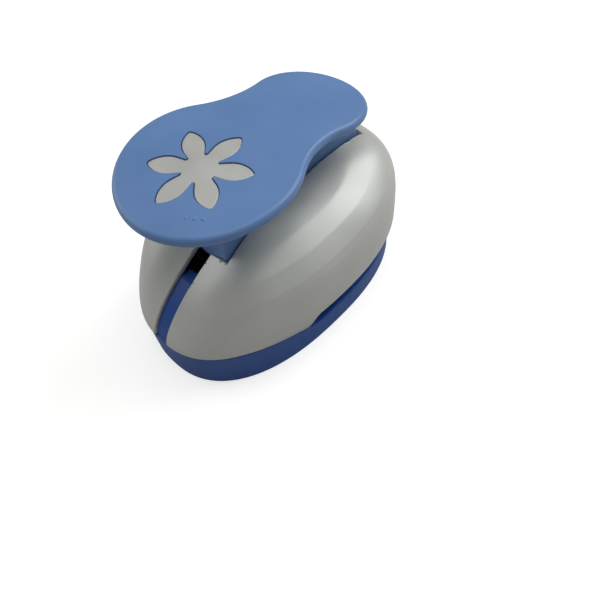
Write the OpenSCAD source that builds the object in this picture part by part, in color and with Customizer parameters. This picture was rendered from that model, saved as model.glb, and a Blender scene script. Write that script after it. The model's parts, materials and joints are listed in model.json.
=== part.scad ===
// Lever craft punch: a plastic body around a steel die set that cuts a six-petal flower.
// The origin is the middle of the footprint, +Y runs from the thumb end to the hinge end.

/* [Body] */
// Half of the body's width at the foot
foot_x = 35.5; // [33:0.1:44]
// Half of the body's length at the foot
foot_y = 56.7; // [54:0.1:70]
// Squareness of the body's outline, 2 is an ellipse
body_square = 2.4; // [2.3:0.1:3]
// How far the cover bulges past the foot at the sides
bulge = 2.7; // [0:0.1:6]
// Height of the cover's crown
crown_z = 52.5; // [48:0.5:66]
// Wall of the cover
cover_wall = 2.2; // [1.5:0.1:3]
// Wall of the base tray
tray_wall = 2.4; // [1.8:0.1:3.5]
// Height where cover and tray meet at the thumb end
seam_z = 17.5; // [15:0.1:18]
// Height of that seam where it has come down to the paper mouth
seam_dip = 12; // [11:0.1:13]
// Height of the tray's lip along the paper mouth
lip_z = 10; // [9:0.1:10.2]
// Height of the cover's edge along the paper mouth
mouth_z = 16.6; // [16.2:0.1:18]
// Where the paper mouth begins
mouth_y = -11; // [-13:0.5:-6]
// Width of the slit down the cover's nose
slit_w = 6.6; // [4:0.1:9]
// Highest point of the tray's tongue in that slit
tongue_z = 36; // [24:0.5:39]

/* [Flower and dies] */
// Size of the cut flower from tip to tip
flower_d = 50.8; // [40:0.1:51.5]
// Middle of the cutting dies along the body
die_y = 15.5; // [13:0.5:16]
// Thickness of the die plate
die_t = 3.2; // [2.5:0.1:4]
// Height of the paper gap between the plates
throat_gap = 2.2; // [1:0.1:2.6]
// Thickness of the guide plate
guide_t = 3.4; // [2.5:0.1:4]
// Half of the plates' width
plate_x = 29.5; // [28.5:0.1:30]
// Thumb end of the plates
plate_front = 34; // [32:0.5:36]
// Hinge end of the plates
plate_rear = 42; // [40.5:0.5:43]
// Gap between the punch and the holes it passes
cut_gap = 0.06; // [0.04:0.01:0.1]

/* [Ram] */
// Outer radius of the ram housing
housing_r = 30; // [29:0.1:30.5]
// Wall of the ram housing
housing_wall = 2.6; // [2:0.1:3]
// Height of the housing's deck
deck_z = 36; // [35:0.5:37]
// Thickness of the ram carrier
carrier_t = 6.5; // [5.5:0.1:7]
// Distance of each guide pin from the middle
pin_x = 20; // [19:0.1:21]
// Diameter of the guide pins
pin_d = 3.5; // [3:0.1:4]
// Diameter of the return springs' wire
wire_d = 0.7; // [0.6:0.1:1]
// Coils in each return spring
spring_coils = 5; // [3:1:6]

/* [Lever] */
// Hinge position along the body
pivot_y = 39.5; // [38:0.5:41]
// Height of the hinge
pivot_z = 42.5; // [41.5:0.5:43]
// Diameter of the hinge pin
pivot_d = 5; // [4:0.1:6]
// Full swing of the lever in degrees
lever_swing = 13; // [8:0.5:13]
// Radius of the lever's thumb lobe
thumb_r = 30.1; // [24:0.1:36.5]
// Middle of the thumb lobe
thumb_y = -18.2; // [-20:0.1:-16]
// Half of the lever's width at the waist
waist_x = 19.6; // [17:0.1:24]
// Radius of the waist's curve
waist_r = 30; // [24:1:40]
// Radius of the lever's hinge lobe
tail_r = 20.6; // [18:0.1:25]
// Radius of the lever's arch
arch_r = 250; // [180:5:400]
// Top of the arch
arch_z = 75.8; // [74:0.1:80]
// Thickness of the lever's plate
cap_t = 3.6; // [3:0.1:5]
// Half of the width of the lever's skirt at the thumb end
skirt_x = 11.7; // [11:0.1:11.8]
// Half of its width at the hinge
skirt_rear = 8.3; // [8:0.1:9.5]
// Wall of the skirt
skirt_wall = 2; // [1.6:0.1:2.2]
// Size of the flower inlay from tip to tip
inlay_d = 35; // [24:0.1:36]
// Middle of the inlay along the body
inlay_y = -21.3; // [-24:0.1:-17]
// Middle of the lever's arch along the body
arch_y = -13.1; // [-15:0.1:-11]

/* [Hidden] */

fit = 0.2;            // gap round a part that drops into another
slide = 0.3;          // gap between parts that move past each other
run = 0.05;           // radial gap of a pin that turns or slides
over = 1;             // how far a cut runs past the face it opens
round_fn = 64;

// Heights of the stack, from the tray's ledge upwards
ledge_z = lip_z + 0.2 - die_t;
die_top = ledge_z + die_t;
guide_z = die_top + throat_gap;
guide_top = guide_z + guide_t;
floor_z = ledge_z - 1.8;       // underside of the tray's floor
plate_z = 0.6;                 // underside of the bottom plate
plate_t = 1.8;                 // its thickness

// The ram at rest and the ground it covers
cam_r = pivot_y - die_y;                       // lever arm, and the cam's base circle
ram_travel = cam_r * lever_swing * PI / 180;
punch_z = guide_z + 1.5;                       // cutting face at rest
carrier_z = guide_top + ram_travel + 2.7;
carrier_top = carrier_z + carrier_t;
carrier_r = housing_r - housing_wall - 0.5;
cam_drop = 7;                                  // contact point below the hinge
pad_t = 1;
pad_top = pivot_z - cam_drop - slide;
deck_t = 2.5;
flange_t = 4.5;
frame_gap = skirt_rear + 1;            // half of the gap between the hinge cheeks
cheek_t = 2.5;
cheek_r = pivot_d / 2 + 1.9;
hub_r = pivot_d / 2 + 2.7;

// Outline of the cover at its widest
wide_x = foot_x + bulge;
wide_y = foot_y + 0.3;
wide_z = 22;                                   // height of the widest line at the sides
nose_drop = 5.5;                               // how much lower that line is at the nose

// Lever
skirt_front = pivot_y + 27.8;                  // radius of the skirt's front about the hinge
skirt_z = 40;
taper_front = -28;                             // the skirt narrows from here
taper_rear = 20;                               // to here
chute_r = flower_d / 2 + 1.6;

// Fasteners: positions and sizes
post_r = 2.6;
cover_screw_r = 1.2;
cover_spots = [for (x = [-1, 1], p = [[9, 13], [20, 4]]) [x * p[0], -plate_front - p[1]]];
bottom_spots = [[-11.5, -38], [11.5, -38], [-13, 47.5], [13, 47.5]];
die_spots = [[-23, -20], [23, -20], [-23, -29.5], [23, -29.5]];
dowel_spots = [[-12, -25], [12, -25]];
housing_spots = [[-24.5, -10], [24.5, -10], [-21.5, 37.5], [21.5, 37.5]];
punch_spots = [[0, die_y - 10.5], [0, die_y + 10.5]];
core_spots = [5, 29];
spring_z = guide_top;
spring_top = carrier_top - 2;
spring_r = pin_d / 2 + wire_d / 2 + 0.35;
pocket_r = spring_r + wire_d / 2 + 0.4;

// ---- Outlines -------------------------------------------------------------

function signed_pow(v, e) = sign(v) * pow(abs(v), e);

// A point of a squared-off ellipse
function egg(a, b, t) =
    [a * signed_pow(cos(t), 2 / body_square), b * signed_pow(sin(t), 2 / body_square)];

module egg_area(a, b, steps = 72) {
    polygon([for (i = [0 : steps - 1]) egg(a, b, 360 * i / steps)]);
}

// Share of the nose's shape in a direction: 1 at the thumb end, 0 from the sides back
function nose(t) = pow(max(0, -sin(t)), 2);

// Share of the bulge in a direction: none at the thumb end, all of it from the sides back
function ease(low, high, v) = let (k = min(1, max(0, (v - low) / (high - low)))) k * k * (3 - 2 * k);
function flare(t) = 1 - ease(0, 0.75, -sin(t));

// Roundness of the cover's section: low and sloping at the nose, boxy behind
function section(t) = 3.3 - 1.78 * nose(t) + 1.1 * max(0, sin(t));
function crown(y) = crown_z + 0.04 * y;
function belt(t) = wide_z - nose_drop * nose(t);

// A point on the cover: s is 1 at the belt and 0 on the crown
function dome(s, t, inset) =
    let (e = egg((foot_x + bulge * flare(t) - inset) * s, (wide_y - inset) * s, t), p = section(t),
         rise = crown(e[1]) - inset - belt(t))
    [e[0], e[1], belt(t) + rise * pow(max(0, 1 - pow(s, p)), 1 / p)];

// A point under the belt, where the cover tucks back in: k is 0 at the belt, 1 at the edge
function tuck(k, t, inset, edge) =
    let (shrink = bulge * flare(t) * cos(90 * k))
    concat(egg(foot_x - inset + shrink, wide_y - inset - (bulge * flare(t) - shrink) * 0.3, t),
           belt(t) + (edge - belt(t)) * k);

module dome_solid(inset, edge, around = 72) {
    shares = [1, 0.985, 0.96, 0.925, 0.88, 0.82, 0.75, 0.66, 0.56, 0.44, 0.3, 0.15];
    tucks = [1, 0.75, 0.5, 0.25];
    rings = concat(
        [for (k = tucks) [for (i = [0 : around - 1]) tuck(k, 360 * i / around, inset, edge)]],
        [for (s = shares) [for (i = [0 : around - 1]) dome(s, 360 * i / around, inset)]]);
    count = len(rings);
    points = concat([for (r = rings) for (p = r) p], [[0, 0, crown(0) - inset]]);
    polyhedron(points, concat(
        [[for (i = [0 : around - 1]) i]],
        [for (r = [0 : count - 2]) for (i = [0 : around - 1])
            let (j = (i + 1) % around, a = r * around, b = a + around)
            each [[a + i, b + i, b + j], [a + i, b + j, a + j]]],
        [for (i = [0 : around - 1])
            [(count - 1) * around + i, count * around, (count - 1) * around + (i + 1) % around]]));
}

// A lens-shaped petal pointing along +X, grown by a gap
module petal(r, gap) {
    half_len = 0.408 * r + gap;
    half_wid = 0.21 * r + gap;
    arc_r = (half_len * half_len + half_wid * half_wid) / (2 * half_wid);
    translate([0.592 * r, 0]) intersection() {
        translate([0, arc_r - half_wid]) circle(arc_r, $fn = 128);
        translate([0, half_wid - arc_r]) circle(arc_r, $fn = 128);
    }
}

// The six-petal flower with one pair of petals along Y
module flower(d, gap = 0) {
    circle(0.338 * d / 2 + gap, $fn = round_fn);
    for (i = [0 : 5]) rotate(30 + 60 * i) petal(d / 2, gap);
}

// A rectangle with rounded corners, given by its four sides
module rounded(x, y0, y1, r) {
    translate([-x + r, y0]) square([2 * (x - r), y1 - y0]);
    translate([-x, y0 + r]) square([2 * x, y1 - y0 - 2 * r]);
    for (sx = [-1, 1], y = [y0 + r, y1 - r]) translate([sx * (x - r), y]) circle(r, $fn = round_fn);
}

// Outline of the three plates of the die set, grown by a gap
module plate_area(gap = 0) {
    front_r = 4;
    rear_r = 11;
    intersection() {
        rounded(plate_x + gap, -plate_front - gap, plate_rear + gap + 20, front_r);
        rounded(plate_x + gap, -plate_front - gap - 20, plate_rear + gap, rear_r);
    }
}

// Lever outline: two lobes joined by concave waist curves
module lever_area() {
    waist_cx = waist_x + waist_r;
    waist_cy = thumb_y + sqrt(pow(thumb_r + waist_r, 2) - waist_cx * waist_cx);
    tail_y = waist_cy + sqrt(max(0, pow(tail_r + waist_r, 2) - waist_cx * waist_cx));
    a = atan2(waist_cy - thumb_y, waist_cx);
    b = atan2(waist_cy - tail_y, waist_cx);
    right = concat(
        [for (i = [0 : 24]) let (t = -90 + (a + 90) * i / 24)
            [thumb_r * cos(t), thumb_y + thumb_r * sin(t)]],
        [for (i = [1 : 11]) let (t = 180 + a + (b - a) * i / 12)
            [waist_cx + waist_r * cos(t), waist_cy + waist_r * sin(t)]],
        [for (i = [0 : 18]) let (t = b + (90 - b) * i / 18)
            [tail_r * cos(t), tail_y + tail_r * sin(t)]]);
    polygon(concat(right, [for (i = [len(right) - 2 : -1 : 1]) [-right[i][0], right[i][1]]]));
}

// Outline of the skirt seen from above, which narrows from the thumb end to the hinge
module skirt_plan(gap, y0, y1) {
    grow = (skirt_x - skirt_rear) / (taper_rear - taper_front);
    front_x = skirt_rear + grow * (taper_rear - y0) + gap;
    rear_x = skirt_rear + gap;
    polygon([[-front_x, y0], [front_x, y0], [rear_x, taper_rear], [rear_x, y1],
             [-rear_x, y1], [-rear_x, taper_rear]]);
}

// ---- Solids used by several parts -----------------------------------------

// Extrudes a side view, drawn as [y, z], between two X positions
module side_slab(x0, x1) {
    translate([x0, 0, 0]) rotate([90, 0, 90]) linear_extrude(x1 - x0) children();
}

// Cylinder along X through a point given as [y, z]
module cross_rod(r, x0, x1, at) {
    translate([x0, at[0], at[1]]) rotate([0, 90, 0]) cylinder(r = r, h = x1 - x0, $fn = round_fn);
}

// The lever's arch, as a full roller below a given depth
module arch_roller(depth) {
    cross_rod(arch_r - depth, -60, 60, [arch_y, arch_z - arch_r]);
}

module arch_shell(top, bottom) {
    difference() {
        cross_arch(top);
        cross_arch(bottom);
    }
}

module cross_arch(depth) {
    translate([-60, arch_y, arch_z - arch_r]) rotate([0, 90, 0])
        cylinder(r = arch_r - depth, h = 120, $fn = 360);
}

module posts(spots, r, z0, z1) {
    for (p = spots) translate([p[0], p[1], z0]) cylinder(r = r, h = z1 - z0, $fn = 32);
}

// A pan-head screw standing head down: its shank starts at z and runs up
module screw_up(r, head_r, head_t, length) {
    translate([0, 0, -head_t]) difference() {
        cylinder(r = head_r, h = head_t, $fn = 32);
        for (a = [0, 90]) rotate(a) translate([-head_r * 0.6, -0.3, -over])
            cube([head_r * 1.2, 0.6, over + head_t * 0.5]);
    }
    cylinder(r = r, h = length, $fn = 32);
}

// ---- Base -----------------------------------------------------------------

// The seam from the thumb end to where the paper mouth begins, as [y, z]
ramp = 3;
fall_y = -42;
seam_line = [[-foot_y - over, seam_z], [fall_y, seam_z], [mouth_y - ramp, seam_dip]];

// Side view of everything the cover leaves to the tray, up to the seam and the lip
module tray_side() {
    polygon(concat([[-foot_y - over, -over]], seam_line,
                   [[mouth_y, lip_z], [18.5, lip_z], [20, lip_z - 0.6], [foot_y + over, lip_z - 0.6],
                    [foot_y + over, -over]]));
}

// A point of the tongue, which follows the nose of the cover
function tongue_point(s, depth) = let (d = dome(s, -90, depth)) [d[1], d[2]];

module tongue() {
    top = 0.985;
    steps = 14;
    low = [for (i = [0 : steps]) 1 - (1 - 0.6) * i / steps];
    intersection() {
        side_slab(-slit_w / 2 + fit, slit_w / 2 - fit)
            polygon(concat([[-wide_y + 1.2, floor_z]], [for (s = low) tongue_point(s, 1.2)],
                           [for (i = [steps : -1 : 0]) tongue_point(low[i], 4.2)],
                           [[-wide_y + 5, floor_z]]));
        translate([-slit_w, -foot_y - over, 0]) cube([2 * slit_w, foot_y, tongue_z]);
    }
}

module base_tray() {
    color("royalblue") {
        difference() {
            intersection() {
                linear_extrude(seam_z + over) egg_area(foot_x, foot_y);
                side_slab(-foot_x - over, foot_x + over) tray_side();
            }
            // hollow underneath, closed by the bottom plate
            translate([0, 0, -over]) linear_extrude(floor_z + over)
                egg_area(foot_x - tray_wall, foot_y - tray_wall);
            // well inside the raised rim at the thumb end
            translate([0, 0, lip_z - 0.2]) linear_extrude(seam_z)
                egg_area(foot_x - tray_wall, foot_y - tray_wall);
            // seat of the die plate and the chute below it
            translate([0, 0, ledge_z]) linear_extrude(seam_z) plate_area(fit);
            translate([0, die_y, 0]) cylinder(r = chute_r, h = seam_z, $fn = 96);
            posts(die_spots, 1.2, floor_z - over, seam_z);
            posts(cover_spots, cover_screw_r + 0.5, floor_z - over, seam_z);
        }
        tongue();
        // bosses for the screws of the bottom plate
        difference() {
            posts(bottom_spots, 3.2, plate_z + plate_t, floor_z + 0.5);
            posts(bottom_spots, 1, 0, floor_z - 0.5);
        }
    }
}

module bottom_plate() {
    color("royalblue") difference() {
        translate([0, 0, plate_z]) linear_extrude(plate_t)
            egg_area(foot_x - tray_wall - fit, foot_y - tray_wall - fit);
        translate([0, die_y, 0]) cylinder(r = chute_r, h = seam_z, $fn = 96);
        posts(bottom_spots, 1.4, 0, seam_z);
        posts(cover_spots, 3.2, 0, seam_z);
    }
}

module bottom_screws() {
    color("silver") for (p = bottom_spots) translate([p[0], p[1], plate_z + 0.9])
        screw_up(0.95, 1.35, 0.8, 3.2);
}

// ---- Cover ----------------------------------------------------------------

// Side view of everything below the cover: the seam, then the paper mouth
module mouth_side() {
    low = seam_dip - 3 * over;
    polygon(concat([[seam_line[0][0], low]], seam_line,
                   [[mouth_y, mouth_z], [18.5, mouth_z], [20, mouth_z + 0.7],
                    [wide_y + 5, mouth_z + 0.7], [wide_y + 5, low]]));
}

module cover_shell() {
    opening_front = pivot_y - skirt_front - 0.4;
    opening_rear = pivot_y + hub_r + 0.8;
    difference() {
        dome_solid(0, seam_dip - over);
        translate([0, 0, -over]) dome_solid(cover_wall, seam_dip - over);
        side_slab(-wide_x - over, wide_x + over) mouth_side();
        translate([-slit_w / 2, -wide_y - over, 0]) cube([slit_w, wide_y - 20, crown_z + 20]);
        translate([0, 0, skirt_z - 10]) linear_extrude(crown_z)
            skirt_plan(0.5, opening_front, opening_rear);
    }
}

// Posts under the cover's nose that take its screws
module cover_posts() {
    difference() {
        intersection() {
            posts(cover_spots, post_r, lip_z, crown_z);
            dome_solid(cover_wall / 2, lip_z - over);
        }
        posts(cover_spots, cover_screw_r + run, 0, lip_z + 9);
    }
}

module top_cover() {
    color("gainsboro") resize([0, 0, 0]) {
        cover_shell();
        cover_posts();
    }
}

// ---- Die set --------------------------------------------------------------

module die_plate() {
    color("silver") difference() {
        translate([0, 0, ledge_z]) linear_extrude(die_t) difference() {
            plate_area();
            translate([0, die_y]) flower(flower_d, cut_gap);
        }
        posts(die_spots, 1.5, 0, 40);
        posts(dowel_spots, 1.5, 0, 40);
    }
}

module throat_spacer() {
    spacer_rear = -13.5;
    color("gray") difference() {
        translate([0, 0, die_top]) linear_extrude(throat_gap)
            rounded(plate_x, -plate_front, spacer_rear, 4);
        posts(die_spots, 1.5, 0, 40);
        posts(dowel_spots, 1.5, 0, 40);
    }
}

module guide_plate() {
    color("silver") difference() {
        translate([0, 0, guide_z]) linear_extrude(guide_t) difference() {
            plate_area();
            translate([0, die_y]) flower(flower_d, cut_gap);
        }
        posts(die_spots, 1.5, 0, 40);
        posts(dowel_spots, 1.5, 0, 40);
        posts(housing_spots, 1.3, 0, 40);
        posts(housing_spots, 2.3, 0, guide_z + 1.2);
        posts([[-pin_x, die_y], [pin_x, die_y]], pin_d / 2, 0, 40);
    }
}

module die_screws() {
    color("dimgray") for (p = die_spots) translate([p[0], p[1], guide_top]) mirror([0, 0, 1])
        screw_up(1.2, 2.6, 1.5, guide_top - floor_z - 0.4);
}

module plate_dowels() {
    color("silver") posts(dowel_spots, 1.5, ledge_z, guide_top + 0.6);
}

// ---- Ram ------------------------------------------------------------------

module ram_housing() {
    cheek_y0 = pivot_y - 9;
    color("darkgray") difference() {
        union() {
            // round wall
            translate([0, die_y, guide_top]) difference() {
                cylinder(r = housing_r, h = deck_z - guide_top, $fn = 128);
                translate([0, 0, -over])
                    cylinder(r = housing_r - housing_wall, h = deck_z - guide_top - deck_t + over, $fn = 128);
            }
            // foot flange that carries the screws
            difference() {
                translate([0, 0, guide_top]) linear_extrude(flange_t)
                    rounded(plate_x - 1, -14, plate_rear - 0.5, 9);
                translate([0, die_y, 0]) cylinder(r = housing_r - housing_wall, h = 60, $fn = 128);
            }
            // cheeks that carry the hinge pin
            for (side = [-1, 1]) translate([side * (frame_gap + cheek_t / 2), 0, 0])
                side_slab(-cheek_t / 2, cheek_t / 2) union() {
                    polygon([[cheek_y0, deck_z - deck_t], [die_y + 24, deck_z - deck_t],
                             [pivot_y + cheek_r, deck_z], [pivot_y + cheek_r, pivot_z],
                             [pivot_y - cheek_r, pivot_z + 1], [cheek_y0, deck_z]]);
                    translate([pivot_y, pivot_z]) circle(cheek_r, $fn = round_fn);
                }
        }
        // slot that the lever's skirt sinks into
        translate([0, 0, carrier_z - 0.5]) linear_extrude(pivot_z)
            skirt_plan(frame_gap - skirt_rear, die_y - housing_r - over, die_y + housing_r - 5);
        posts([[-pin_x, die_y], [pin_x, die_y]], pin_d / 2, 0, 60);
        posts(housing_spots, 1.2, 0, guide_top + flange_t + over);
        cross_rod(pivot_d / 2 + run, -20, 20, [pivot_y, pivot_z]);
    }
}

module housing_screws() {
    color("dimgray") for (p = housing_spots) translate([p[0], p[1], guide_z + 1.2])
        screw_up(1.15, 2.1, 1.1, guide_t + 3.5);
}

module guide_pins() {
    color("silver") posts([[-pin_x, die_y], [pin_x, die_y]], pin_d / 2, guide_z + 0.4, deck_z);
}

module ram_carrier() {
    boss_x = 6;
    boss_y = 7;
    color("gray") difference() {
        union() {
            translate([0, die_y, carrier_z]) cylinder(r = carrier_r, h = carrier_t, $fn = 128);
            translate([-boss_x, die_y - boss_y, carrier_top - over])
                cube([2 * boss_x, 2 * boss_y, pad_top - pad_t - carrier_top + over]);
        }
        for (side = [-1, 1]) translate([side * pin_x, die_y, 0]) {
            cylinder(r = pin_d / 2 + run, h = 60, $fn = round_fn);
            cylinder(r = pocket_r, h = spring_top, $fn = round_fn);
        }
        posts(punch_spots, 1.5, 0, 60);
        posts(punch_spots, 2.8, carrier_top - 1.8, 60);
    }
}

module punch_die() {
    color("silver") difference() {
        translate([0, die_y, punch_z]) linear_extrude(carrier_z - punch_z) flower(flower_d);
        posts(punch_spots, 1.2, punch_z + 3, 60);
    }
}

module punch_screws() {
    color("dimgray") for (p = punch_spots) translate([p[0], p[1], carrier_top - 1.8])
        mirror([0, 0, 1]) screw_up(1.2, 2.6, 1.5, carrier_t - 1.8 + 4);
}

module ram_pad() {
    color("silver") translate([0, die_y, pad_top - pad_t]) linear_extrude(pad_t)
        rounded(5, -6, 6, 1);
}

// A coil of round wire with closed ends, standing on z and reaching up to top
module coil(r, wire, z, top, coils) {
    sides = 6;
    steps = 16;
    turns = coils + 2;
    count = turns * steps;
    span = top - z - 2 * wire;
    points = [for (i = [0 : count]) for (k = [0 : sides - 1])
        let (u = i / steps, rise = wire * min(u, 1) / 2 + wire * max(0, u - turns + 1) / 2,
             a = 360 * i / steps, c = 360 * k / sides, ring = r + wire / 2 * cos(c),
             climb = span * min(1, max(0, (u - 1) / coils)))
        [ring * cos(a), ring * sin(a), z + wire / 2 + rise + climb + wire / 2 * sin(c)]];
    polyhedron(points, concat(
        [[for (k = [sides - 1 : -1 : 0]) k]],
        [for (i = [0 : count - 1]) for (k = [0 : sides - 1])
            let (a = i * sides + k, b = i * sides + (k + 1) % sides)
            each [[a, b + sides, a + sides], [a, b, b + sides]]],
        [[for (k = [0 : sides - 1]) count * sides + k]]));
}

module spring(side) {
    color("darkgray") translate([side * pin_x, die_y, 0])
        coil(spring_r, wire_d, spring_z + 0.02, spring_top - 0.02, spring_coils);
}

module spring_left() { spring(-1); }
module spring_right() { spring(1); }

// ---- Lever ----------------------------------------------------------------

// Side view of the skirt: its front is an arc about the hinge
module skirt_side(inset) {
    front = skirt_front - inset;
    rise = 32;
    polygon(concat(
        [for (i = [0 : 16]) let (z = skirt_z + rise * i / 16, up = z - pivot_z)
            [pivot_y - sqrt(front * front - up * up), z]],
        [[pivot_y + hub_r - 5 - inset, skirt_z + rise],
         [pivot_y + hub_r - inset, pivot_z], [pivot_y, skirt_z]]));
}

module lever_cap() {
    color("steelblue") difference() {
        union() {
            intersection() {
                translate([0, 0, 50]) linear_extrude(40) lever_area();
                arch_shell(0, cap_t);
            }
            // skirt, closed in front and open below
            intersection() {
                difference() {
                    intersection() {
                        side_slab(-skirt_x, skirt_x) skirt_side(0);
                        linear_extrude(arch_z) skirt_plan(0, taper_front, pivot_y + 2 * hub_r);
                    }
                    intersection() {
                        side_slab(-skirt_x, skirt_x) translate([0, -4]) skirt_side(skirt_wall);
                        linear_extrude(arch_z) skirt_plan(-skirt_wall, taper_front, pivot_y + 2 * hub_r);
                    }
                    translate([-skirt_rear + skirt_wall, taper_rear, skirt_z - 10])
                        cube([2 * (skirt_rear - skirt_wall), 40, 20]);
                }
                arch_roller(cap_t - 0.4);
            }
            for (side = [-1, 1])
                cross_rod(hub_r, side * (skirt_rear - skirt_wall / 2) - skirt_wall / 2,
                          side * (skirt_rear - skirt_wall / 2) + skirt_wall / 2, [pivot_y, pivot_z]);
            // bosses that take the screws of the core
            intersection() {
                posts([for (y = core_spots) [0, y]], 3.4, 60, 74);
                arch_roller(cap_t - 0.4);
            }
            // three raised dots beside the inlay
            for (i = [-1 : 1]) translate([14 + 2.2 * i, inlay_y - 14 + 1.4 * i, arch_z - 1.6])
                cylinder(r = 0.6, h = 1.6, $fn = 24);
        }
        // seat of the inlay
        intersection() {
            translate([0, inlay_y, 60]) linear_extrude(30) flower(inlay_d, 0.15);
            arch_shell(-2, 1.5);
        }
        posts([for (y = core_spots) [0, y]], 1.2, 50, 71);
        cross_rod(pivot_d / 2 + run, -20, 20, [pivot_y, pivot_z]);
    }
}

module flower_inlay() {
    color("lightgray") intersection() {
        translate([0, inlay_y, 60]) linear_extrude(30) flower(inlay_d);
        arch_shell(0.25, 1.5);
    }
}

// A point of the cam, an involute about the hinge that presses the ram straight down
function cam_point(a) =
    let (drop = -cam_drop - cam_r * a * PI / 180)
    [pivot_y - cam_r * cos(a) + drop * sin(a), pivot_z + cam_r * sin(a) + drop * cos(a)];

module lever_core() {
    core_x = skirt_rear - skirt_wall - slide;
    top_z = 60;
    steps = 12;
    cam = [for (i = [0 : steps]) cam_point(lever_swing + 5 - (lever_swing + 9) * i / steps)];
    color("dimgray") difference() {
        union() {
            side_slab(-core_x, core_x) polygon(concat(
                [[cam[0][0] - 3, pivot_z + 4], [core_spots[0] - 4, top_z - 6],
                 [core_spots[0] - 4, top_z], [core_spots[1] + 4, top_z],
                 [pivot_y + hub_r - 2.2, pivot_z + 4], [pivot_y, pivot_z - 3],
                 [cam[steps][0] + 5, pivot_z - 4]],
                [for (i = [steps : -1 : 0]) cam[i]]));
            cross_rod(hub_r - 0.3, -core_x, core_x, [pivot_y, pivot_z]);
        }
        posts([for (y = core_spots) [0, y]], 1.5, 30, 70);
        posts([for (y = core_spots) [0, y]], 2.9, 30, top_z - 6);
        cross_rod(pivot_d / 2 + run, -20, 20, [pivot_y, pivot_z]);
    }
}

module core_screws() {
    color("silver") for (y = core_spots) translate([0, y, 54]) screw_up(1.2, 2.6, 1.6, 14);
}

module pivot_pin() {
    pin_end = frame_gap + cheek_t + 1.8;
    color("silver") difference() {
        cross_rod(pivot_d / 2, -pin_end, pin_end, [pivot_y, pivot_z]);
        for (side = [-1, 1]) translate([side * (frame_gap + cheek_t + 0.7), pivot_y, pivot_z])
            rotate([0, 90, 0]) difference() {
                cylinder(r = pivot_d, h = 0.8, center = true, $fn = round_fn);
                cylinder(r = pivot_d / 2 - 0.6, h = 1, center = true, $fn = round_fn);
            }
    }
}

module pivot_washers() {
    color("ivory") for (side = [-1, 1]) difference() {
        cross_rod(hub_r - 0.4, side * (skirt_rear + 0.5) - 0.35,
                  side * (skirt_rear + 0.5) + 0.35, [pivot_y, pivot_z]);
        cross_rod(pivot_d / 2 + run, -20, 20, [pivot_y, pivot_z]);
    }
}

module pivot_clips() {
    color("dimgray") for (side = [-1, 1]) difference() {
        cross_rod(pivot_d / 2 + 1.3, side * (frame_gap + cheek_t + 0.7) - 0.35,
                  side * (frame_gap + cheek_t + 0.7) + 0.35, [pivot_y, pivot_z]);
        cross_rod(pivot_d / 2 - 0.55, -20, 20, [pivot_y, pivot_z]);
        translate([-20, pivot_y - 1.3, pivot_z - 10]) cube([40, 2.6, 9]);
    }
}

module cover_screws() {
    color("silver") for (p = cover_spots) translate([p[0], p[1], floor_z])
        screw_up(cover_screw_r, 2.6, 1.5, 13);
}

base_tray();
bottom_plate();
bottom_screws();
top_cover();
cover_screws();
die_plate();
throat_spacer();
guide_plate();
die_screws();
plate_dowels();
ram_housing();
housing_screws();
guide_pins();
ram_carrier();
punch_die();
punch_screws();
ram_pad();
spring_left();
spring_right();
lever_cap();
lever_core();
core_screws();
flower_inlay();
pivot_pin();
pivot_washers();
pivot_clips();
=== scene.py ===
import json
import math

import bmesh
import bpy
from mathutils import Matrix, Vector


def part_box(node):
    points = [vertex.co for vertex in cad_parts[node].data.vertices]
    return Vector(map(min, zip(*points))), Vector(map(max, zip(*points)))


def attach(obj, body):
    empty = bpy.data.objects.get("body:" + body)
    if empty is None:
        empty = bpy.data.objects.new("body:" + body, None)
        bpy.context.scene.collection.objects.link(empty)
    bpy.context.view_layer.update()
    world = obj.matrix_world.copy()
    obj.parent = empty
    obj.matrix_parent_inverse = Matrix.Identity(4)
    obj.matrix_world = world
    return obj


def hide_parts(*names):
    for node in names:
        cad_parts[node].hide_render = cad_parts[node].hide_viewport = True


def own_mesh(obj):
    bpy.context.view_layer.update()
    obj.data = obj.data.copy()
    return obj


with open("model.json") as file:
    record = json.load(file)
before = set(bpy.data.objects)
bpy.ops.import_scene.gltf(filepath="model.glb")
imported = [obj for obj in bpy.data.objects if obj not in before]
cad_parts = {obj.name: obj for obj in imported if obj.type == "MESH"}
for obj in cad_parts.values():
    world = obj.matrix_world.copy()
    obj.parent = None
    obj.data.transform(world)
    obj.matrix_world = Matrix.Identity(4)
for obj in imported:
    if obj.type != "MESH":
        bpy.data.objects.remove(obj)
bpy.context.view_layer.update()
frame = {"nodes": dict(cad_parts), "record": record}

mm = 0.001

# ---- Camera ---------------------------------------------------------------
# The camera looks down on the thumb end and the right side from 23 cm away.
camera_at = Vector((112.3, -85.0, 186.4)) * mm
camera_right = Vector((0.724, 0.687, -0.0655))
camera_up = Vector((-0.5459, 0.6281, 0.5545))
camera_data = bpy.data.cameras.new("camera")
camera_data.sensor_width = 36
camera_data.lens = 32.4
camera_data.clip_start = 0.01
camera = bpy.data.objects.new("camera", camera_data)
camera_back = camera_right.cross(camera_up)
turn = Matrix((camera_right, camera_up, camera_back)).transposed().to_4x4()
camera.matrix_world = Matrix.Translation(camera_at) @ turn
bpy.context.collection.objects.link(camera)
bpy.context.scene.camera = camera

# ---- Body tray ------------------------------------------------------------
# One dark blue moulding: a rim the cover sits on at the thumb end, a low lip along the
# paper mouth, a deck around the die plate and a tongue that fills the slit in the cover.


def signed_pow(v, e):
    return math.copysign(abs(v) ** e, v)


body_square = 2.4


def egg(a, b, t):
    """A point of the body's outline, an ellipse squared off a little."""
    return a * signed_pow(math.cos(t), 2 / body_square), b * signed_pow(math.sin(t), 2 / body_square)


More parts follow.
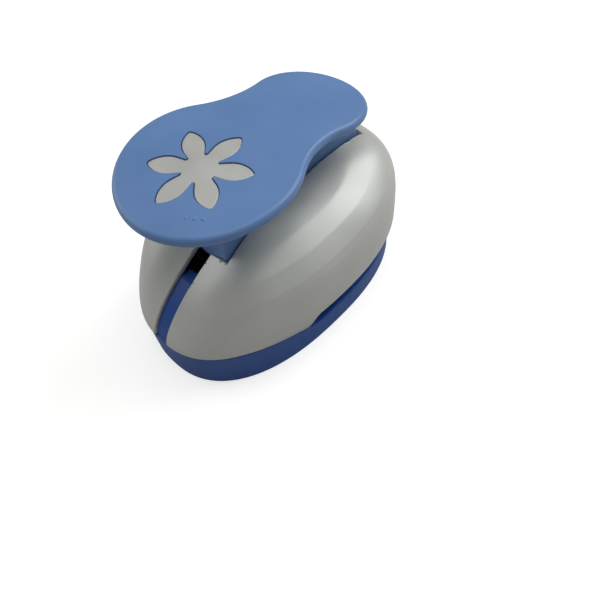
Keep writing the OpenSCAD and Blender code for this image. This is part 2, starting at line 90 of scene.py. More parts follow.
def ease(low, high, v):
    """0 below low, 1 above high and a smooth step between."""
    k = min(1, max(0, (v - low) / (high - low)))
    return k * k * (3 - 2 * k)


def mesh_object(name, bm):
    mesh = bpy.data.meshes.new(name)
    bm.to_mesh(mesh)
    bm.free()
    piece = bpy.data.objects.new(name, mesh)
    bpy.context.collection.objects.link(piece)
    return piece


def outline_prism(name, points, z0, z1):
    """A flat outline raised from z0 to z1."""
    bm = bmesh.new()
    corners = [bm.verts.new((x, y, z0)) for x, y in points]
    face = bm.faces.new(corners)
    raised = bmesh.ops.extrude_face_region(bm, geom=[face])["geom"]
    top = [g for g in raised if isinstance(g, bmesh.types.BMVert)]
    bmesh.ops.translate(bm, vec=(0, 0, z1 - z0), verts=top)
    bmesh.ops.recalc_face_normals(bm, faces=bm.faces)
    return mesh_object(name, bm)


def side_prism(name, points, x0, x1):
    """A side view, drawn as y and z, spread between two X positions."""
    piece = outline_prism(name, points, x0, x1)
    piece.data.transform(Matrix(((0, 0, 1, 0), (1, 0, 0, 0), (0, 1, 0, 0), (0, 0, 0, 1))))
    return piece


def disc(name, x, y, radius, z0, z1, sides=64):
    points = [(x + radius * math.cos(a), y + radius * math.sin(a))
              for a in (2 * math.pi * i / sides for i in range(sides))]
    return outline_prism(name, points, z0, z1)


def cut(piece, tool, how="DIFFERENCE"):
    """Cuts the tool from the piece, or joins or meets them, and drops the tool."""
    step = piece.modifiers.new("cut", "BOOLEAN")
    step.object = tool
    step.operation = how
    step.solver = "MANIFOLD"
    bpy.context.view_layer.update()
    made = bpy.data.meshes.new_from_object(piece.evaluated_get(bpy.context.evaluated_depsgraph_get()))
    piece.modifiers.clear()
    piece.data = made
    bpy.data.objects.remove(tool)


def join(piece, other):
    """Adds a closed piece, sunk a little into the first, to the same object."""
    bm = bmesh.new()
    bm.from_mesh(piece.data)
    bm.from_mesh(other.data)
    bm.to_mesh(piece.data)
    bm.free()
    bpy.data.objects.remove(other)


def soften(piece, width, segments=3, angle=35):
    """Rounds the sharp edges and shades the rest smooth."""
    bevel = piece.modifiers.new("edges", "BEVEL")
    bevel.width = width
    bevel.segments = segments
    bevel.limit_method = "ANGLE"
    bevel.angle_limit = math.radians(angle)
    bevel.harden_normals = True
    bevel.use_clamp_overlap = False
    for polygon in piece.data.polygons:
        polygon.use_smooth = True
    sharp = piece.modifiers.new("shading", "WEIGHTED_NORMAL")
    sharp.keep_sharp = True


tray_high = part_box("base_tray")[1]
foot_x = tray_high.x
foot_y = tray_high.y
tray_wall = 2.4 * mm
seam_z = 17.5 * mm
seam_dip = 12 * mm
fall_y = -42 * mm
lip_z = 10.0 * mm
ledge_z = 7.0 * mm
floor_z = 5.2 * mm
mouth_y = -11 * mm
die_y = 15.5 * mm
chute_r = 27.0 * mm
plate_low, plate_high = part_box("die_plate")
tongue_z = 36 * mm
slit_x = 3.3 * mm


def egg_points(inset, steps=180):
    return [egg(foot_x - inset, foot_y - inset, 2 * math.pi * i / steps) for i in range(steps)]


def seam_height(y):
    """The seam is level at the thumb end and comes down along the sides to the paper mouth."""
    share = min(1, max(0, (y - fall_y) / (mouth_y - 3 * mm - fall_y)))
    return seam_z - (seam_z - seam_dip) * (share + share ** 2) / 2


def rim_side():
    """Side view of the tray's top edge: seam, ramp, lip and the small step behind it."""
    points = [(-0.06, -0.001), (-0.06, seam_z)]
    for i in range(33):
        y = fall_y + (mouth_y + 2 * mm - fall_y) * i / 32
        drop = ease(mouth_y - 4 * mm, mouth_y + mm, y)
        points.append((y, seam_height(y) * (1 - drop) + lip_z * drop))
    points += [(0.0185, lip_z), (0.020, lip_z - 0.6 * mm), (0.06, lip_z - 0.6 * mm), (0.06, -0.001)]
    return points


tray = outline_prism("tray", egg_points(0), 0, seam_z + mm)
cut(tray, side_prism("rim", rim_side(), -0.04, 0.04), "INTERSECT")
cut(tray, outline_prism("hollow", egg_points(tray_wall), -mm, floor_z))
cut(tray, outline_prism("well", egg_points(tray_wall), lip_z - 0.2 * mm, 0.02))


def rounded_rectangle(x, y0, y1, front, rear, steps=10):
    """Outline with its own corner radius at each end."""
    points = []
    corners = [(x - rear, y1 - rear, rear, 0), (-x + rear, y1 - rear, rear, 90),
               (-x + front, y0 + front, front, 180), (x - front, y0 + front, front, 270)]
    for cx, cy, r, start in corners:
        for i in range(steps + 1):
            a = math.radians(start + 90 * i / steps)
            points.append((cx + r * math.cos(a), cy + r * math.sin(a)))
    return points


seat = rounded_rectangle(plate_high.x + 0.2 * mm, plate_low.y - 0.2 * mm, plate_high.y + 0.2 * mm,
                         4.2 * mm, 11.2 * mm)
cut(tray, outline_prism("seat", seat, ledge_z, 0.02))
cut(tray, disc("chute", 0, die_y, chute_r, -mm, 0.02, 96))
boss_spots = [(-11.5, -38), (11.5, -38), (-13, 47.5), (13, 47.5)]
for x, y in boss_spots:
    cut(tray, disc("boss", x * mm, y * mm, 3.2 * mm, 2.4 * mm, floor_z + 0.5 * mm, 32), "UNION")
    cut(tray, disc("pilot", x * mm, y * mm, 1.0 * mm, 0, floor_z - 0.5 * mm, 24))


# The cover's shape is needed here, because the tongue follows its nose.
cover_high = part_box("top_cover")[1]
wide_x = cover_high.x
wide_y = foot_y + 0.3 * mm
bulge = wide_x - foot_x
crown_z = 52.5 * mm
belt_z = 22 * mm
nose_drop = 5.5 * mm


def nose(t):
    """Share of the nose's shape in a direction: 1 at the thumb end, 0 from the sides back."""
    return max(0, -math.sin(t)) ** 2


def flare(t):
    """Share of the bulge in a direction: none at the thumb end, all of it from the sides back."""
    return 1 - ease(0, 0.75, -math.sin(t))


def belt(t):
    """Height of the cover's widest line, which never drops below the seam."""
    seam = seam_height(wide_y * signed_pow(math.sin(t), 2 / body_square))
    return max(belt_z - nose_drop * nose(t), seam + 0.6 * mm)


def cover_point(f, t, inset=0.0):
    """A point on the cover: f is 0 at its widest line and 1 on the crown."""
    p = 3.3 - 1.78 * nose(t) + 1.1 * max(0, math.sin(t))
    a = f * math.pi / 2
    s = max(0, math.cos(a)) ** (2 / p)
    h = max(0, math.sin(a)) ** (2 / p)
    crease = 0.75 * ease(0.15, 0.6, 1 - abs(math.sin(t) - 0.05))
    corner = [(0, 1), (0.3, 0.985), (0.45, 0.965), (0.62, 0.915), (0.8, 0.80), (0.935, 0.675),
              (0.965, 0.58), (0.985, 0.42), (0.995, 0.22), (1, 0)]
    for (s0, h0), (s1, h1) in zip(corner, corner[1:]):
        if s0 <= s <= s1:
            h += crease * (h0 + (h1 - h0) * (s - s0) / (s1 - s0) - h)
            break
    x, y = egg((foot_x + bulge * flare(t) - inset) * s, (wide_y - inset) * s, t)
    top = crown_z + 0.04 * y - inset
    return Vector((x, y, belt(t) + (top - belt(t)) * h))


nose_angle = -math.pi / 2
steps = 24
outer = [cover_point(0.62 * i / steps, nose_angle, 1.2 * mm) for i in range(steps + 1)]
inner = [cover_point(0.62 * i / steps, nose_angle, 4.2 * mm) for i in range(steps, -1, -1)]
profile = [(-wide_y + 1.2 * mm, floor_z)] + [(p.y, p.z) for p in outer + inner]
profile.append((-wide_y + 5 * mm, floor_z))
tongue = side_prism("tongue", profile, -slit_x + 0.2 * mm, slit_x - 0.2 * mm)
below_top = [(-0.06, -0.01), (-0.06, tongue_z), (0, tongue_z), (0, -0.01)]
cut(tongue, side_prism("top", below_top, -0.01, 0.01), "INTERSECT")
cut(tongue, outline_prism("nose_line", egg_points(0), 0, 0.06), "INTERSECT")
cut(tray, tongue, "UNION")
soften(tray, 0.45 * mm)
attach(tray, "body")
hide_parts("base_tray")


def grain_group():
    """Fine moulding grain: a colour factor, a roughness shift and a height."""
    group = bpy.data.node_groups.new("moulding grain", "ShaderNodeTree")
    for name, value in (("Scale", 900.0), ("Cloud", 40.0)):
        socket = group.interface.new_socket(name, in_out="INPUT", socket_type="NodeSocketFloat")
        socket.default_value = value
    for name in ("Mottle", "Rough", "Height"):
        group.interface.new_socket(name, in_out="OUTPUT", socket_type="NodeSocketFloat")
    nodes, links = group.nodes, group.links
    entry = nodes.new("NodeGroupInput")
    out = nodes.new("NodeGroupOutput")
    place = nodes.new("ShaderNodeTexCoord")
    fine = nodes.new("ShaderNodeTexNoise")
    fine.inputs["Detail"].default_value = 4
    cloud = nodes.new("ShaderNodeTexNoise")
    cloud.inputs["Detail"].default_value = 3
    links.new(place.outputs["Object"], fine.inputs["Vector"])
    links.new(place.outputs["Object"], cloud.inputs["Vector"])
    links.new(entry.outputs["Scale"], fine.inputs["Scale"])
    links.new(entry.outputs["Cloud"], cloud.inputs["Scale"])
    spread = nodes.new("ShaderNodeMapRange")
    spread.inputs["From Min"].default_value = 0.3
    spread.inputs["From Max"].default_value = 0.7
    links.new(cloud.outputs["Fac"], spread.inputs["Value"])
    links.new(spread.outputs["Result"], out.inputs["Mottle"])
    mixed = nodes.new("ShaderNodeMath")
    mixed.operation = "MULTIPLY"
    links.new(fine.outputs["Fac"], mixed.inputs[0])
    links.new(spread.outputs["Result"], mixed.inputs[1])
    links.new(mixed.outputs["Value"], out.inputs["Rough"])
    links.new(fine.outputs["Fac"], out.inputs["Height"])
    return group


grain = grain_group()


def plastic(name, dark, light, rough, bump, scale=900, cloud=40, metallic=0.0, coat=0.0, coat_rough=0.2):
    """A moulded plastic with its own grain, from two close shades and a range of gloss."""
    material = bpy.data.materials.new(name)
    material.use_nodes = True
    nodes, links = material.node_tree.nodes, material.node_tree.links
    shader = nodes["Principled BSDF"]
    texture = nodes.new("ShaderNodeGroup")
    texture.node_tree = grain
    texture.inputs["Scale"].default_value = scale
    texture.inputs["Cloud"].default_value = cloud
    shade = nodes.new("ShaderNodeMix")
    shade.data_type = "RGBA"
    shade.inputs["A"].default_value = (*dark, 1)
    shade.inputs["B"].default_value = (*light, 1)
    links.new(texture.outputs["Mottle"], shade.inputs["Factor"])
    links.new(shade.outputs["Result"], shader.inputs["Base Color"])
    gloss = nodes.new("ShaderNodeMapRange")
    gloss.inputs["To Min"].default_value = rough[0]
    gloss.inputs["To Max"].default_value = rough[1]
    links.new(texture.outputs["Rough"], gloss.inputs["Value"])
    links.new(gloss.outputs["Result"], shader.inputs["Roughness"])
    relief = nodes.new("ShaderNodeBump")
    relief.inputs["Strength"].default_value = bump
    relief.inputs["Distance"].default_value = 0.0001
    links.new(texture.outputs["Height"], relief.inputs["Height"])
    links.new(relief.outputs["Normal"], shader.inputs["Normal"])
    shader.inputs["Metallic"].default_value = metallic
    shader.inputs["Coat Weight"].default_value = coat
    shader.inputs["Coat Roughness"].default_value = coat_rough
    return material


def srgb(*values):
    """Linear colour from an sRGB triple in 0 to 255."""
    return tuple((v / 255 / 12.92) if v < 10.3 else ((v / 255 + 0.055) / 1.055) ** 2.4 for v in values)


def paint(piece, material):
    piece.data.materials.clear()
    piece.data.materials.append(material)


body_blue = plastic("body blue", srgb(3, 66, 144), srgb(7, 74, 154), (0.4, 0.55), 0.25)
paint(tray, body_blue)

# ---- Bottom plate ---------------------------------------------------------
# A flat blue plate screwed into the tray from below, open in the middle for the cut flower.
paint(frame["nodes"]["bottom_plate"], body_blue)

# ---- Cover ----------------------------------------------------------------
# The pearly white shell: slit down the nose for the tongue, open on top for the lever, and
# raised along the sides and the hinge end, where the paper goes in.
cover_wall = 2.2 * mm
mouth_z = 16.6 * mm
skirt_x, skirt_rear = 11.7 * mm, 8.3 * mm
pivot = Vector(next(j for j in frame["record"]["behaviour"]["joints"] if j["name"] == "lever_press")["pos_m"])
opening_front = -28.2 * mm
opening_rear = 45.5 * mm
taper_front, taper_rear = -28 * mm, 20 * mm


def skirt_half(y, gap=0.0):
    """Half of the skirt's width, which narrows from the thumb end to the hinge."""
    return skirt_rear + (skirt_x - skirt_rear) * max(0, (taper_rear - y) / (taper_rear - taper_front)) + gap


def edge_height(y):
    low = seam_height(y) + 0.12 * mm
    high = mouth_z + 0.7 * mm * ease(18.3 * mm, 20 * mm, y)
    return low + (high - low) * ease(mouth_y - 4 * mm, mouth_y + mm, y)


def tuck_point(k, t):
    """A point under the widest line, where the cover tucks back in: k is 1 at the edge."""
    full = bulge * flare(t)
    grown = full * math.cos(k * math.pi / 2)
    x, y = egg(foot_x + grown, wide_y - (full - grown) * 0.3, t)
    return Vector((x, y, belt(t) + (edge_height(y) - belt(t)) * k))


def tuck_share(t):
    """Share of the grid's rows that go to the tuck: few where the seam is close to the belt."""
    return 0.18 * min(1, (belt(t) - edge_height(tuck_point(0, t).y)) / (5.4 * mm))


around, up = 240, 84
bm = bmesh.new()
bmesh.ops.create_grid(bm, x_segments=around, y_segments=up, size=1)
for vert in bm.verts:
    t = math.pi * vert.co.x - math.pi / 2
    v = (vert.co.y + 1) / 2
    share = tuck_share(t)
    if v < share:
        vert.co = tuck_point(1 - v / share, t)
    else:
        vert.co = cover_point((v - share) / (1 - share), t)
bmesh.ops.remove_doubles(bm, verts=bm.verts, dist=0.02 * mm)


def split(plane, normal, keep):
    """Adds an edge line along a plane to the faces that the test keeps."""
    faces = [f for f in bm.faces if keep(f.calc_center_median())]
    geom = list({*faces, *(e for f in faces for e in f.edges), *(v for f in faces for v in f.verts)})
    bmesh.ops.bisect_plane(bm, geom=geom, dist=1e-6, plane_co=plane, plane_no=normal)


gap = 0.5 * mm
lean = (skirt_x - skirt_rear) / (taper_rear - taper_front)
for side in (-1, 1):
    split((side * slit_x, 0, 0), (1, 0, 0), lambda c: c.y < opening_front + 3 * mm)
    split((side * skirt_half(0, gap), 0, 0), (side, lean, 0),
          lambda c: c.z > 30 * mm and opening_front - 3 * mm < c.y < taper_rear + mm and c.x * side > 0)
    split((side * (skirt_rear + gap), 0, 0), (1, 0, 0),
          lambda c: c.z > 30 * mm and c.y > taper_rear - mm and c.x * side > 0)
for y in (opening_front, opening_rear):
    split((0, y, 0), (0, 1, 0), lambda c: c.z > 30 * mm and abs(c.x) < skirt_x + 3 * mm)


def opened(c):
    slit = abs(c.x) < slit_x and c.y < opening_front
    top = abs(c.x) < skirt_half(c.y, gap) and opening_front < c.y < opening_rear and c.z > 30 * mm
    return slit or top


bmesh.ops.delete(bm, geom=[f for f in bm.faces if opened(f.calc_center_median())], context="FACES")
# Short edges along the opening are joined first, then the points beside its line move onto it.
rim = [v for v in bm.verts if v.is_boundary and v.co.z > 30 * mm]
bmesh.ops.remove_doubles(bm, verts=rim, dist=0.35 * mm)
line = [v for v in bm.verts if v.is_boundary and v.co.z > 30 * mm]
beside = [v for v in bm.verts if v.co.z > 30 * mm]
near = bmesh.ops.find_doubles(bm, verts=beside, keep_verts=line, dist=0.3 * mm)["targetmap"]
bmesh.ops.weld_verts(bm, targetmap=near)
bmesh.ops.remove_doubles(bm, verts=bm.verts, dist=0.12 * mm)
bmesh.ops.dissolve_degenerate(bm, edges=bm.edges, dist=0.05 * mm)
bmesh.ops.recalc_face_normals(bm, faces=bm.faces)
if sum(f.normal.z * f.calc_area() for f in bm.faces) < 0:
    bmesh.ops.reverse_faces(bm, faces=bm.faces)
cover = mesh_object("cover", bm)
wall = cover.modifiers.new("wall", "SOLIDIFY")
wall.thickness = cover_wall
wall.offset = -1
soften(cover, 0.5 * mm, 4, 50)
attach(cover, "body")
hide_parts("top_cover")
pearl = plastic("pearl white", srgb(186, 189, 184), srgb(194, 196, 191), (0.34, 0.48), 0.35,
                scale=2600, cloud=60, metallic=0.15, coat=0.2, coat_rough=0.35)
paint(cover, pearl)

# ---- Lever ----------------------------------------------------------------
# One lighter blue moulding: an arched plate with two lobes and soft edges, a seat for the
# flower inlay, and a deep skirt that sinks into the cover and takes the core.
thumb_r, thumb_y = 30.1 * mm, -18.2 * mm
waist_x, waist_r = 19.6 * mm, 30 * mm
tail_r = 20.6 * mm
arch_r, arch_y, arch_z = 250 * mm, -13.1 * mm, 75.8 * mm
cap_t = 3.6 * mm
inlay_y = -21.3 * mm
inlay_r = 17.5 * mm


def arch(y):
    return arch_z - arch_r + math.sqrt(arch_r ** 2 - (y - arch_y) ** 2)


def lever_outline():
    cx = waist_x + waist_r
    cy = thumb_y + math.sqrt((thumb_r + waist_r) ** 2 - cx ** 2)
    tail_y = cy + math.sqrt((tail_r + waist_r) ** 2 - cx ** 2)
    a = math.atan2(cy - thumb_y, cx)
    b = math.atan2(cy - tail_y, cx)
    right = [(thumb_r * math.cos(u), thumb_y + thumb_r * math.sin(u))
             for u in (-math.pi / 2 + (a + math.pi / 2) * i / 60 for i in range(61))]
    right += [(cx + waist_r * math.cos(u), cy + waist_r * math.sin(u))
              for u in (math.pi + a + (b - a) * i / 24 for i in range(1, 24))]
    right += [(tail_r * math.cos(u), tail_y + tail_r * math.sin(u))
              for u in (b + (math.pi / 2 - b) * i / 40 for i in range(41))]
    return right + [(-x, y) for x, y in reversed(right[1:-1])]


def flower_radius(angle, r, gap=0.0):
    """How far the six-petal outline reaches in a direction: a hub disc and lens petals."""
    spread = (math.degrees(angle) - 30) % 60
    off = math.radians(min(spread, 60 - spread))
    half_long, half_wide, middle = 0.408 * r + gap, 0.21 * r + gap, 0.592 * r
    arc = (half_long ** 2 + half_wide ** 2) / (2 * half_wide)
    cx, cy = middle, half_wide - arc
    along = cx * math.cos(off) + cy * math.sin(off)
    room = along ** 2 - (cx ** 2 + cy ** 2 - arc ** 2)
    petal = along + math.sqrt(room) if room > 0 else 0
    return max(0.338 * r + gap, petal)


def flower_outline(r, gap=0.0, steps=432, passes=8):
    points = [Vector((math.cos(a), math.sin(a))) * flower_radius(a, r, gap)
              for a in (2 * math.pi * i / steps for i in range(steps))]
    for _ in range(passes):
        points = [(points[i - 1] + 2 * p + points[(i + 1) % steps]) / 4 for i, p in enumerate(points)]
    return [(p.x, p.y + inlay_y) for p in points]


def arch_band(name, top, bottom, x=0.04):
    """The lever's arch between two depths below its top, as a bar across the body."""
    ys = [-0.06 + 0.12 * i / 80 for i in range(81)]
    profile = [(y, arch(y) - bottom) for y in ys] + [(y, arch(y) - top) for y in reversed(ys)]
    return side_prism(name, profile, -x, x)


def arched_slab(name, outline, thick, drop, rim, middle_of, rows=40):
    """A plate that follows the lever's arch, with a rounded rim, swept from rim to middle."""
    outline = [Vector(p) for p in outline]
    count = len(outline)
    bm = bmesh.new()
    bmesh.ops.create_grid(bm, x_segments=count, y_segments=rows, size=1)
    for vert in bm.verts:
        i = round((vert.co.x + 1) / 2 * count) % count
        v = vert.co.y
        along = outline[(i + 1) % count] - outline[i - 1]
        inward = Vector((-along.y, along.x)).normalized()
        turn = max(-1, min(1, v / 0.5)) * math.pi / 2
        spot = outline[i] + inward * rim * (1 - math.cos(turn))
        height = (thick / 2 - rim) * (1 if v > 0 else -1 if v < 0 else 0) + rim * math.sin(turn)
        share = max(0, (abs(v) - 0.5) / 0.5)
        spot = spot.lerp(middle_of(spot), share)
        vert.co = (spot.x, spot.y, arch(spot.y) - drop - thick / 2 + height)
    bmesh.ops.remove_doubles(bm, verts=bm.verts, dist=0.01 * mm)
    bmesh.ops.recalc_face_normals(bm, faces=bm.faces)
    return mesh_object(name, bm)


def lever_middle(spot):
    return Vector((0, min(22 * mm, max(-22 * mm, spot.y))))


lever = arched_slab("lever", lever_outline(), cap_t, 0, 1.75 * mm, lever_middle)
seat = outline_prism("inlay_seat", flower_outline(inlay_r, 0.25 * mm), 0.05, 0.09)
cut(seat, arch_band("seat_depth", -0.002, 1.5 * mm), "INTERSECT")
cut(lever, seat)

# The skirt's front is an arc about the hinge, so its gap to the cover stays the same.
skirt_front = pivot.y + 27.8 * mm
skirt_z = 40 * mm
skirt_wall = 2 * mm
hub_r = 5.2 * mm


def skirt_side(inset):
    zs = [skirt_z + 32 * mm * i / 20 for i in range(21)]
    front = skirt_front - inset
    points = [(pivot.y - math.sqrt(front ** 2 - (z - pivot.z) ** 2), z) for z in zs]
    return points + [(pivot.y + hub_r - 5 * mm - inset, zs[-1]), (pivot.y + hub_r - inset, pivot.z),
                     (pivot.y, skirt_z)]


def skirt_plan(name, grow):
    """The skirt's tapered outline seen from above, as a tall block."""
    corners = [(skirt_half(y, grow), y) for y in (taper_front, taper_rear, pivot.y + 2 * hub_r)]
    return outline_prism(name, corners + [(-x, y) for x, y in reversed(corners)], 20 * mm, 90 * mm)


skirt = side_prism("skirt", skirt_side(0), -skirt_x, skirt_x)
cut(skirt, skirt_plan("taper", 0), "INTERSECT")
hub = side_prism("hub", [(pivot.y + hub_r * math.cos(a), pivot.z + hub_r * math.sin(a))
                         for a in (2 * math.pi * i / 48 for i in range(48))], -skirt_rear, skirt_rear)
cut(skirt, hub, "UNION")
soften(skirt, 1.3 * mm, 5, 50)
bpy.context.view_layer.update()
rounded_skirt = bpy.data.meshes.new_from_object(skirt.evaluated_get(bpy.context.evaluated_depsgraph_get()))
skirt.modifiers.clear()
skirt.data = rounded_skirt
hollow = side_prism("skirt_hollow", [(y, z - 4 * mm) for y, z in skirt_side(skirt_wall)], -skirt_x, skirt_x)
cut(hollow, skirt_plan("hollow_taper", -skirt_wall), "INTERSECT")
cut(skirt, hollow)
cut(skirt, side_prism("hub_room", [(taper_rear, 30 * mm), (pivot.y + 20 * mm, 30 * mm),
                                   (pivot.y + 20 * mm, 50 * mm), (taper_rear, 50 * mm)],
                      -skirt_rear + skirt_wall, skirt_rear - skirt_wall))
cut(skirt, arch_band("under", cap_t - 0.4 * mm, 60 * mm), "INTERSECT")
join(lever, skirt)
for y in (5, 29):
    join(lever, disc("boss", 0, y * mm, 3.4 * mm, 60 * mm, arch(y * mm) - cap_t + 0.4 * mm, 32))
for i in (-1, 0, 1):
    bm = bmesh.new()
    bmesh.ops.create_uvsphere(bm, u_segments=24, v_segments=12, radius=0.7 * mm)
    bmesh.ops.scale(bm, vec=(1, 1, 0.6), verts=bm.verts)
    y = inlay_y + (-14 + 1.4 * i) * mm
    bmesh.ops.translate(bm, vec=((14 + 2.2 * i) * mm, y, arch(y) - 0.15 * mm), verts=bm.verts)
    join(lever, mesh_object("dot", bm))
bm = bmesh.new()
bm.from_mesh(lever.data)
for face in bm.faces:
    face.smooth = True
for edge in bm.edges:
    edge.smooth = edge.calc_face_angle(0) < math.radians(30)
bm.to_mesh(lever.data)
bm.free()
shading = lever.modifiers.new("shading", "WEIGHTED_NORMAL")
shading.keep_sharp = True
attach(lever, "lever")
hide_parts("lever_cap")
lever_blue = plastic("lever blue", srgb(90, 126, 178), srgb(98, 134, 186), (0.38, 0.52), 0.3, scale=1400)
paint(lever, lever_blue)

# ---- Flower inlay ---------------------------------------------------------
# A satin silver-grey plastic flower, dropped into its seat a little below the lever's face.
inlay_middle = Vector((0, inlay_y))
inlay = arched_slab("inlay", flower_outline(inlay_r, -0.05 * mm), 1.2 * mm, 0.3 * mm, 0.2 * mm,
                    lambda spot: inlay_middle, 30)
for face in inlay.data.polygons:
    face.use_smooth = True
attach(inlay, "lever")
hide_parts("flower_inlay")
paint(inlay, plastic("inlay grey", srgb(184, 185, 181), srgb(194, 195, 191), (0.36, 0.5), 0.4,
                     scale=2200, cloud=90, metallic=0.25))

# ---- Return springs -------------------------------------------------------
# Two short coils of spring wire round the guide pins, which lift the ram and the lever.
wire_r = 0.35 * mm
spring_turns = 7
for side in ("left", "right"):
    low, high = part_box("spring_" + side)
    middle = (low + high) / 2
    coil_r = (high.x - low.x) / 2 - wire_r
    climb = (high.z - low.z - 2 * wire_r) / spring_turns
    bm = bmesh.new()
    ring = bmesh.ops.create_circle(bm, segments=12, radius=wire_r)["verts"]
    bmesh.ops.rotate(bm, matrix=Matrix.Rotation(math.pi / 2, 3, "X"), verts=ring)
    bmesh.ops.translate(bm, vec=(coil_r, 0, low.z + wire_r), verts=ring)
    per_turn = 32
    bmesh.ops.spin(bm, geom=bm.verts[:] + bm.edges[:], cent=(0, 0, 0), axis=(0, 0, 1),
                   dvec=(0, 0, climb / per_turn), angle=2 * math.pi * spring_turns,
                   steps=per_turn * spring_turns, use_merge=False)
    bmesh.ops.holes_fill(bm, edges=[e for e in bm.edges if e.is_boundary], sides=16)
    bmesh.ops.translate(bm, vec=(middle.x, middle.y, 0), verts=bm.verts)
    bmesh.ops.recalc_face_normals(bm, faces=bm.faces)
    for face in bm.faces:
        face.smooth = True
    spring = mesh_object("coil_" + side, bm)
    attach(spring, "body")
    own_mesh(spring)
    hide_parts("spring_" + side)


def metal(name, dark, light, rough, stretch=(1, 1, 1), scale=300, bump=0.15):
    """A bare or plated metal: mottled shade and gloss, drawn out along one way if ground."""
    material = bpy.data.materials.new(name)
    material.use_nodes = True
    nodes, links = material.node_tree.nodes, material.node_tree.links
    shader = nodes["Principled BSDF"]
    shader.inputs["Metallic"].default_value = 1
    place = nodes.new("ShaderNodeTexCoord")
    drawn = nodes.new("ShaderNodeMapping")
    drawn.inputs["Scale"].default_value = stretch
    links.new(place.outputs["Object"], drawn.inputs["Vector"])
    noise = nodes.new("ShaderNodeTexNoise")
    noise.inputs["Scale"].default_value = scale
    noise.inputs["Detail"].default_value = 5
    links.new(drawn.outputs["Vector"], noise.inputs["Vector"])
    shade = nodes.new("ShaderNodeMix")
    shade.data_type = "RGBA"
    shade.inputs["A"].default_value = (*dark, 1)
    shade.inputs["B"].default_value = (*light, 1)
    links.new(noise.outputs["Fac"], shade.inputs["Factor"])
    links.new(shade.outputs["Result"], shader.inputs["Base Color"])
    gloss = nodes.new("ShaderNodeMapRange")
    gloss.inputs["To Min"].default_value = rough[0]
    gloss.inputs["To Max"].default_value = rough[1]
    links.new(noise.outputs["Fac"], gloss.inputs["Value"])
    links.new(gloss.outputs["Result"], shader.inputs["Roughness"])
    relief = nodes.new("ShaderNodeBump")
    relief.inputs["Strength"].default_value = bump
    relief.inputs["Distance"].default_value = 0.0001
    links.new(noise.outputs["Fac"], relief.inputs["Height"])
    links.new(relief.outputs["Normal"], shader.inputs["Normal"])
    return material


spring_wire = metal("spring wire", srgb(120, 120, 124), srgb(158, 158, 162), (0.25, 0.45))
for side in ("left", "right"):
    paint(bpy.data.objects["coil_" + side], spring_wire)

# ---- Die set --------------------------------------------------------------
# Ground tool steel plates and the flower-shaped punch, and the zinc bar that spaces them.
ground_steel = metal("ground steel", srgb(150, 151, 154), srgb(196, 197, 200), (0.22, 0.42), (1, 14, 1), 240)
for name in ("die_plate", "guide_plate", "punch_die"):
    paint(frame["nodes"][name], ground_steel)

# ---- Castings -------------------------------------------------------------
# The ram housing with its hinge cheeks, the ram carrier, the spacer and the lever's core
# are zinc castings with a dull, slightly cloudy skin.
cast_zinc = metal("cast zinc", srgb(122, 124, 128), srgb(160, 162, 165), (0.42, 0.62), (1, 1, 1), 500, 0.4)
for name in ("ram_housing", "ram_carrier", "throat_spacer", "lever_core"):
    paint(frame["nodes"][name], cast_zinc)

# ---- Pins and wear pad ----------------------------------------------------
# Hardened and polished: the hinge pin, the guide pins, the dowels and the pad under the cam.
polished_steel = metal("polished steel", srgb(172, 173, 176), srgb(206, 207, 210), (0.12, 0.26),
                       (1, 1, 6), 400, 0.05)
for name in ("pivot_pin", "guide_pins", "plate_dowels", "ram_pad"):
    paint(frame["nodes"][name], polished_steel)

# ---- Screws and clips -----------------------------------------------------
# Zinc plated, with the faint warm tint of the plating.
zinc_plate = metal("zinc plate", srgb(150, 148, 138), srgb(186, 184, 174), (0.28, 0.46), (1, 1, 1), 700)
for name in ("bottom_screws", "cover_screws", "die_screws", "housing_screws", "punch_screws",
             "core_screws", "pivot_clips"):
    paint(frame["nodes"][name], zinc_plate)

# ---- Hinge washers --------------------------------------------------------
# Two off-white acetal washers between the skirt and the cheeks.
acetal = plastic("acetal", srgb(214, 208, 190), srgb(224, 219, 204), (0.3, 0.45), 0.2)
paint(frame["nodes"]["pivot_washers"], acetal)

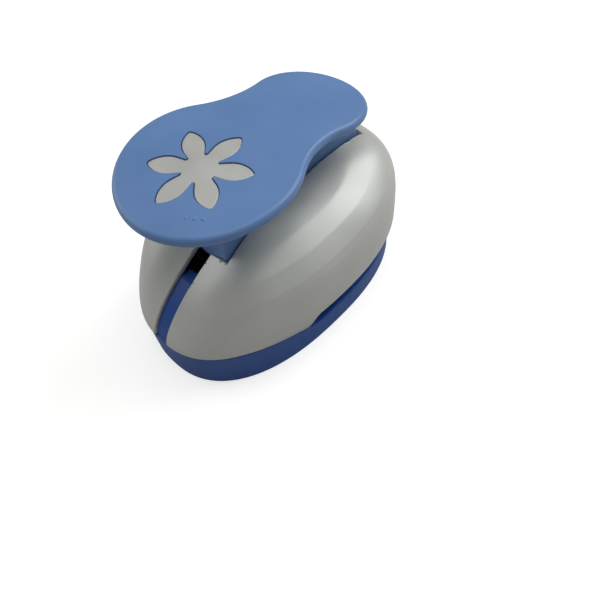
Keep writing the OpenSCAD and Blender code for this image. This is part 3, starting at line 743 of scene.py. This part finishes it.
# ---- Floor and light ------------------------------------------------------
# A plain pale table and large soft lamps overhead, with a bright surround.
bm = bmesh.new()
bmesh.ops.create_grid(bm, x_segments=1, y_segments=1, size=3)
floor = mesh_object("floor", bm)
table = plastic("table", (0.55, 0.55, 0.54), (0.58, 0.58, 0.57), (0.6, 0.7), 0.02, scale=200, cloud=8)
nodes, links = table.node_tree.nodes, table.node_tree.links
seen = nodes.new("ShaderNodeLightPath")
shine = nodes.new("ShaderNodeEmission")
shine.inputs["Strength"].default_value = 0.62
both = nodes.new("ShaderNodeAddShader")
pick = nodes.new("ShaderNodeMixShader")
links.new(nodes["Principled BSDF"].outputs["BSDF"], both.inputs[0])
links.new(shine.outputs["Emission"], both.inputs[1])
links.new(seen.outputs["Is Camera Ray"], pick.inputs["Fac"])
links.new(nodes["Principled BSDF"].outputs["BSDF"], pick.inputs[1])
links.new(both.outputs["Shader"], pick.inputs[2])
links.new(pick.outputs["Shader"], nodes["Material Output"].inputs["Surface"])
paint(floor, table)


def lamp(name, at, size, power, aim=(0, 0, 0.03)):
    data = bpy.data.lights.new(name, "AREA")
    data.size = size
    data.energy = power
    light = bpy.data.objects.new(name, data)
    light.location = at
    light.rotation_euler = (Vector(aim) - Vector(at)).to_track_quat("-Z", "Y").to_euler()
    bpy.context.collection.objects.link(light)


lamp("window", (0.25, 0.75, 0.75), 0.6, 5.5)
lamp("ceiling", (0.0, 0.15, 1.2), 1.0, 4.6)
lamp("side fill", (-0.8, -0.35, 0.45), 0.6, 2.2)
world = bpy.data.worlds.new("room")
world.use_nodes = True
nodes, links = world.node_tree.nodes, world.node_tree.links
nodes["Background"].inputs["Color"].default_value = (1.0, 0.98, 0.95, 1)
nodes["Background"].inputs["Strength"].default_value = 0.25
backdrop = nodes.new("ShaderNodeBackground")
seen = nodes.new("ShaderNodeLightPath")
pick = nodes.new("ShaderNodeMixShader")
links.new(seen.outputs["Is Camera Ray"], pick.inputs["Fac"])
links.new(nodes["Background"].outputs["Background"], pick.inputs[1])
links.new(backdrop.outputs["Background"], pick.inputs[2])
links.new(pick.outputs["Shader"], nodes["World Output"].inputs["Surface"])
bpy.context.scene.world = world
bpy.context.scene.view_settings.view_transform = "Standard"
